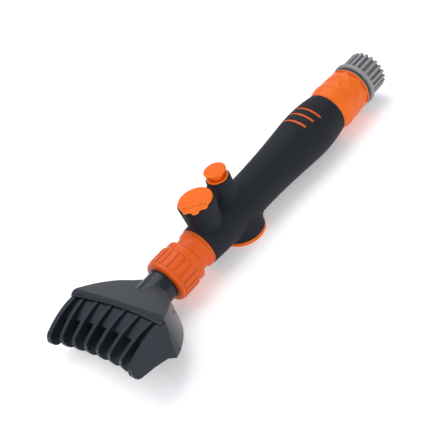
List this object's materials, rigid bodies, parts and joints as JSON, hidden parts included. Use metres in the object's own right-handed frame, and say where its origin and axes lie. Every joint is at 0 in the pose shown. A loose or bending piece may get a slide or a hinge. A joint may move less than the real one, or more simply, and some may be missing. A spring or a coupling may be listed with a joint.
{
  "type": "comb-head spray wand",
  "caption": "Hand-held spray wand with a wide hollow-tined comb head, flow dial, detergent cap, push button and quick hose connector for rinsing pleated filters.",
  "frame": {"origin": "centre of the hose mouth, on the rear face of the hose nut", "axes": "+X out of the hose mouth, away from the comb head; +Z towards the detergent cap and the push button; +Y completes the right-handed frame"},
  "size_m": [0.3459, 0.1164, 0.0661],
  "materials": {
    "orange": "satin moulded ABS",
    "grip": "soft-touch TPE, fine matte grain",
    "head_black": "glossy moulded PP",
    "grey": "satin moulded PP",
    "inner_white": "acetal",
    "inner_black": "moulded",
    "seal": "nitrile",
    "steel": "stainless wire"
  },
  "bodies": {
    "handle": {"core_body": "orange", "grip_overmould": "grip", "rotor_retainer": "inner_white", "poppet_seat": "inner_white", "button_bushing": "orange", "button_oring": "seal", "button_spring": "steel", "inlet_nipple": "inner_black", "nipple_seal": "seal", "nipple_oring": "seal"},
    "union": {"union_nut": "orange"},
    "head": {"head_shell": "head_black", "head_base_cover": "head_black", "comb_web": "head_black", "tine_1": "head_black", "tine_2": "head_black", "tine_3": "head_black", "tine_4": "head_black", "tine_5": "head_black", "tine_6": "head_black", "tine_7": "head_black", "tine_8": "head_black", "neck_oring": "seal", "head_seal_washer": "seal"},
    "dial": {"flow_rotor": "inner_white", "rotor_orings": "seal", "flow_dial": "orange", "dial_screw": "steel"},
    "button": {"push_button": "orange", "detergent_poppet": "inner_white", "poppet_seal": "seal"},
    "cap": {"filler_cap": "orange", "cap_gasket": "seal"},
    "connector": {"connector_body": "grey", "lock_claws": "inner_white", "hose_collet": "grey", "sleeve_spring": "steel"},
    "sleeve": {"release_sleeve": "orange"},
    "hose_nut_body": {"hose_nut": "grey"}
  },
  "joints": [
    {"name": "union_nut_turn", "type": "hinge", "parent": "handle", "child": "union", "pos_m": [-0.254, 0, 0], "axis": [1, 0, 0], "continuous": true},
    {"name": "head_swivel", "type": "hinge", "parent": "handle", "child": "head", "pos_m": [-0.262, 0, 0], "axis": [1, 0, 0], "continuous": true},
    {"name": "dial_turn", "type": "hinge", "parent": "handle", "child": "dial", "pos_m": [-0.1829, 0, -0.02], "axis": [0, 0, -1], "range_deg": [0, 90]},
    {"name": "button_press", "type": "slide", "parent": "handle", "child": "button", "axis": [0, 0, -1], "range_m": [0, 0.004], "stiffness_N_per_m": 300, "springref_m": -0.003, "deforming": ["button_spring"]},
    {"name": "cap_pull", "type": "slide", "parent": "handle", "child": "cap", "axis": [0, 0, 1], "range_m": [0, 0.014]},
    {"name": "connector_swivel", "type": "hinge", "parent": "handle", "child": "connector", "pos_m": [-0.046, 0, 0], "axis": [1, 0, 0], "continuous": true},
    {"name": "sleeve_slide", "type": "slide", "parent": "connector", "child": "sleeve", "axis": [1, 0, 0], "range_m": [0, 0.003], "stiffness_N_per_m": 600, "springref_m": -0.003},
    {"name": "hose_nut_turn", "type": "hinge", "parent": "connector", "child": "hose_nut_body", "pos_m": [-0.011, 0, 0], "axis": [1, 0, 0], "continuous": true}
  ]
}
